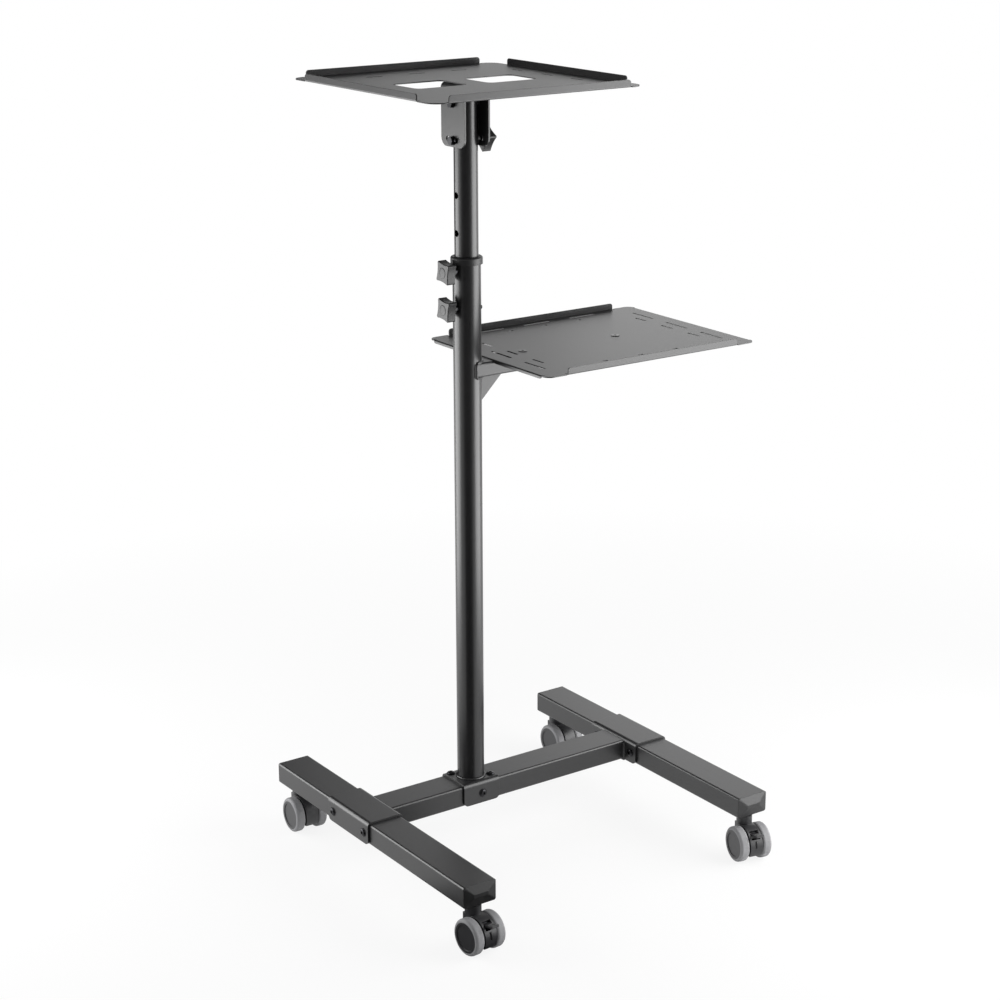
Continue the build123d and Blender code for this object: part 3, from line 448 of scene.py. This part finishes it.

# Brake pedals: nylon blades on a cross pin in the two near casters, with cross ribs for the toe. A
# black nylon rod laid down the back of the hood is painted shade, where a slot would lie in shadow.
joints = {joint["name"]: joint for joint in frame["joints"]}
pedal_rise = math.radians(14.6)
blade_half = 1.5
rib_count, rib_start, rib_pitch = 4, 14, 2.8
rib_width, rib_depth, rib_height, rib_root = 9, 1.1, 0.7, 0.3
rib_crest_width, rib_crest_depth = 8, 0.6
rib_rings = ((rib_width, rib_depth, -rib_root), (rib_crest_width, rib_crest_depth, rib_height))
# Painted shade: a black rod on the back of each hood darkens it as a slot in shadow would.
slot_shade_radius = 1.6
slot_shade_bearings = range(0, 25, 4)
hood_setback = 0.5
up = Vector((0, 0, 1))
for caster in ("near_left", "near_right"):
    dress(caster_nylon, f"{caster}_brake_pedal")
    axle = Vector(joints[f"{caster}_roll"]["pos_m"]) / mm
    across = Vector(joints[f"{caster}_roll"]["axis"])
    rear = Vector((across.y, -across.x, 0))
    hood_radius = axle.z - hood_setback
    path = []
    for bearing in slot_shade_bearings:
        angle = math.radians(bearing)
        path.append(axle + hood_radius * (rear * math.cos(angle) + up * math.sin(angle)))
    attach(f"{caster}_brake_tongue", rod(path, slot_shade_radius, across, ripple=1), Matrix(), black_nylon,
           f"{caster}_caster")

    pin = Vector(joints[f"{caster}_brake"]["pos_m"]) / mm
    across = Vector(joints[f"{caster}_brake"]["axis"])
    back = Vector((across.y, -across.x, 0)) * math.cos(pedal_rise) + up * math.sin(pedal_rise)
    above = back.cross(across)
    for rib in range(rib_count):
        middle = pin + back * (rib_start + rib_pitch * rib) + above * blade_half
        corners = []
        for width, depth, level in rib_rings:
            for u, w in ((-1, -1), (1, -1), (1, 1), (-1, 1)):
                corners.append(middle + across * (u * width / 2) + back * (w * depth / 2) + above * level)
        faces = [(3, 2, 1, 0), (4, 5, 6, 7), (0, 1, 5, 4), (1, 2, 6, 5), (2, 3, 7, 6), (3, 0, 4, 7)]
        attach(f"{caster}_pedal_rib_{rib + 1}", (corners, faces), Matrix(), caster_nylon,
               f"{caster}_pedal")

# Studio: white paper on the floor and all round, soft boxes standing on the floor at both sides and a
# weak one at the back. Black flock hangs behind the camera and at the back left and lies on the floor
# in front of the stand, and grey flock overhead keeps the trays dark. Only mirrors see the cloths.
camera_yaw = math.radians(34.86)
ahead = Vector((math.sin(camera_yaw), math.cos(camera_yaw), 0))
right = Vector((math.cos(camera_yaw), -math.sin(camera_yaw), 0))
axis = Vector((column.x, column.y, 0)) * mm


def seen(tree):
    """One for rays that come from the camera, a mirror or glass, and nought for those that light."""
    ray = wire(tree, "ShaderNodeLightPath", {}, {})
    mirrored = wire(tree, "ShaderNodeMath", {"operation": "MAXIMUM"},
                    {0: ray.outputs["Is Camera Ray"], 1: ray.outputs["Is Glossy Ray"]})
    return wire(tree, "ShaderNodeMath", {"operation": "MAXIMUM"},
                {0: mirrored.outputs["Value"], 1: ray.outputs["Is Transmission Ray"]})


# White paper that glows a little where it is looked at, less near the stand, so its shadow shows
floor_reach = 40
floor_mesh = bpy.data.meshes.new("floor")
floor_corners = [(-floor_reach, -floor_reach, 0), (floor_reach, -floor_reach, 0),
                 (floor_reach, floor_reach, 0), (-floor_reach, floor_reach, 0)]
floor_mesh.from_pydata(floor_corners, [], [(0, 1, 2, 3)])
floor = bpy.data.objects.new("floor", floor_mesh)
paper, tree = new_material("white_paper")
place = wire(tree, "ShaderNodeTexCoord", {}, {})
away = wire(tree, "ShaderNodeVectorMath", {"operation": "LENGTH"}, {0: place.outputs["Object"]})
fade = wire(tree, "ShaderNodeMapRange", {"From Min": 0.5, "From Max": 1.6, "To Min": 0.86, "To Max": 1.0},
            {"Value": away.outputs["Value"]})
share = wire(tree, "ShaderNodeMath", {"operation": "MULTIPLY"},
             {0: seen(tree).outputs["Value"], 1: fade.outputs["Result"]})
matt = wire(tree, "ShaderNodeBsdfDiffuse", {"Color": linear("#ececec")}, {})
glow = wire(tree, "ShaderNodeEmission", {"Color": linear("#ffffff"), "Strength": 1.0}, {})
both = wire(tree, "ShaderNodeMixShader", {},
            {"Fac": share.outputs["Value"], 1: matt.outputs["BSDF"], 2: glow.outputs["Emission"]})
wire(tree, "ShaderNodeOutputMaterial", {}, {"Surface": both.outputs["Shader"]})
floor_mesh.materials.append(paper)

# Flocked cloth: a matt pile with no shine at all, in tufts of about 8 mm
cloths = {"black_flock": ("#0c0c0c", "#161616"), "grey_flock": ("#7c7c7c", "#888888")}
flock = {}
for name, (dark, pale) in cloths.items():
    flock[name], tree = new_material(name)
    pile = wire(tree, "ShaderNodeTexNoise", {"Scale": per_metre(8)}, {})
    shade = wire(tree, "ShaderNodeMixRGB", {"Color1": linear(dark), "Color2": linear(pale)},
                 {"Fac": pile.outputs["Fac"]})
    matt = wire(tree, "ShaderNodeBsdfDiffuse", {}, {"Color": shade.outputs["Color"]})
    wire(tree, "ShaderNodeOutputMaterial", {}, {"Surface": matt.outputs["BSDF"]})


def bearing_way(degrees):
    """Level direction from the column, counted from the camera's side towards its right."""
    return right * math.sin(math.radians(degrees)) - ahead * math.cos(math.radians(degrees))


tent_radius, tent_height = 3.3, 2.6
ceiling_bearings = range(0, 360, 10)
ceiling = [axis + bearing_way(angle) * tent_radius + up * tent_height for angle in ceiling_bearings]
cloth_start, cloth_bearing, cloth_gap = 0.15, 33, 0.002
cloth_ends = ((1, cloth_start), (1, tent_radius), (-1, tent_radius), (-1, cloth_start))
cloth = [axis + bearing_way(side * cloth_bearing) * distance + up * cloth_gap
         for side, distance in cloth_ends]
hangings = {
    "ceiling": (ceiling, [tuple(range(len(ceiling)))], "grey_flock"),
    "floor_cloth": (cloth, [(0, 1, 2, 3)], "black_flock"),
}
curtains = {
    "front_curtain": {"bearings": range(-52, 53, 8), "foot": 0, "head": 1.5},
    "back_curtain": {"bearings": range(-170, -124, 5), "foot": 0, "head": tent_height},
    "back_valance": {"bearings": range(-175, -169, 5), "foot": 1.9, "head": tent_height},
}
for name, curtain in curtains.items():
    corners = [axis + bearing_way(angle) * tent_radius + up * curtain[level]
               for angle in curtain["bearings"] for level in ("foot", "head")]
    panels = [(2 * i, 2 * i + 2, 2 * i + 3, 2 * i + 1) for i in range(len(curtain["bearings"]) - 1)]
    hangings[name] = (corners, panels, "black_flock")
props = [floor]
for name, (corners, faces, cloth_name) in hangings.items():
    hanging_mesh = bpy.data.meshes.new(name)
    hanging_mesh.from_pydata(corners, [], faces)
    hanging_mesh.materials.append(flock[cloth_name])
    prop = bpy.data.objects.new(name, hanging_mesh)
    prop.visible_camera = False
    prop.visible_diffuse = False
    prop.visible_shadow = False
    props.append(prop)
for prop in props:
    bpy.context.scene.collection.objects.link(prop)

# Soft boxes, in metres and watts. Most of the right one's upper part is flagged off the shelf, whose
# top would turn white where it mirrors that box.
soft_boxes = {
    "left": {"bearing": -95, "distance": 1.05, "width": 1.0, "height": 0.85, "foot": 0, "power": 12.5},
    "right": {"bearing": 85, "distance": 1.05, "width": 1.0, "height": 0.75, "foot": 0, "power": 12.07},
    "high_right": {"bearing": 85, "distance": 1.05, "width": 1.0, "height": 0.4, "foot": 0.75, "power": 1.0},
    "flagged_right": {"bearing": 85, "distance": 1.08, "width": 1.0, "height": 0.4, "foot": 0.75,
                      "power": 5.43},
    "back": {"bearing": 159, "distance": 2.4, "width": 1.4, "height": 1.4, "foot": 0.3, "power": 4.0},
}
flag = bpy.data.collections.new("shaded_by_the_flag")
for piece in (nodes["side_shelf"], *(bpy.data.objects[name] for name in shelf_screws)):
    flag.objects.link(piece)
for shaded in flag.collection_objects:
    shaded.light_linking.link_state = "EXCLUDE"
for name, box in soft_boxes.items():
    lamp_data = bpy.data.lights.new(f"{name}_soft_box", "AREA")
    lamp_data.shape = "RECTANGLE"
    lamp_data.size = box["width"]
    lamp_data.size_y = box["height"]
    lamp_data.energy = box["power"]
    lamp = bpy.data.objects.new(f"{name}_soft_box", lamp_data)
    way = bearing_way(box["bearing"])
    spot = axis + way * box["distance"] + up * (box["foot"] + box["height"] / 2)
    lamp.matrix_world = Matrix.Translation(spot) @ way.to_track_quat("Z", "Y").to_matrix().to_4x4()
    lamp.visible_camera = False
    bpy.context.scene.collection.objects.link(lamp)
    if name == "flagged_right":
        lamp.light_linking.receiver_collection = flag

world = bpy.data.worlds.new("studio")
bpy.context.scene.world = world
world.use_nodes = True
tree = world.node_tree
tree.nodes.clear()
room = wire(tree, "ShaderNodeBackground", {"Color": linear("#ffffff"), "Strength": 0.4}, {})
white = wire(tree, "ShaderNodeBackground", {"Color": linear("#ffffff"), "Strength": 1.0}, {})
both = wire(tree, "ShaderNodeMixShader", {},
            {"Fac": seen(tree).outputs["Value"], 1: room.outputs["Background"],
             2: white.outputs["Background"]})
wire(tree, "ShaderNodeOutputWorld", {}, {"Surface": both.outputs["Shader"]})

# Camera: where the photograph was taken from, about 2.9 m from the column and looking a little down.
# Its place, turn and lens were fitted to the edges of the stand.
camera_data = bpy.data.cameras.new("camera")
camera_data.sensor_width = 36
camera_data.lens = 79.53
camera = bpy.data.objects.new("camera", camera_data)
bpy.context.scene.collection.objects.link(camera)
pitch, roll = (math.radians(angle) for angle in (17.25, -0.215))
forward = ahead * math.cos(pitch) - up * math.sin(pitch)
turn = Matrix((right, right.cross(forward), -forward)).transposed().to_4x4() @ Matrix.Rotation(roll, 4, "Z")
stand_off = Vector((-1610.83, -2387.5, 1304.56 + leg_top)) * mm
camera.matrix_world = Matrix.Translation(axis + stand_off) @ turn
bpy.context.scene.camera = camera
bpy.context.scene.view_settings.view_transform = "Standard"
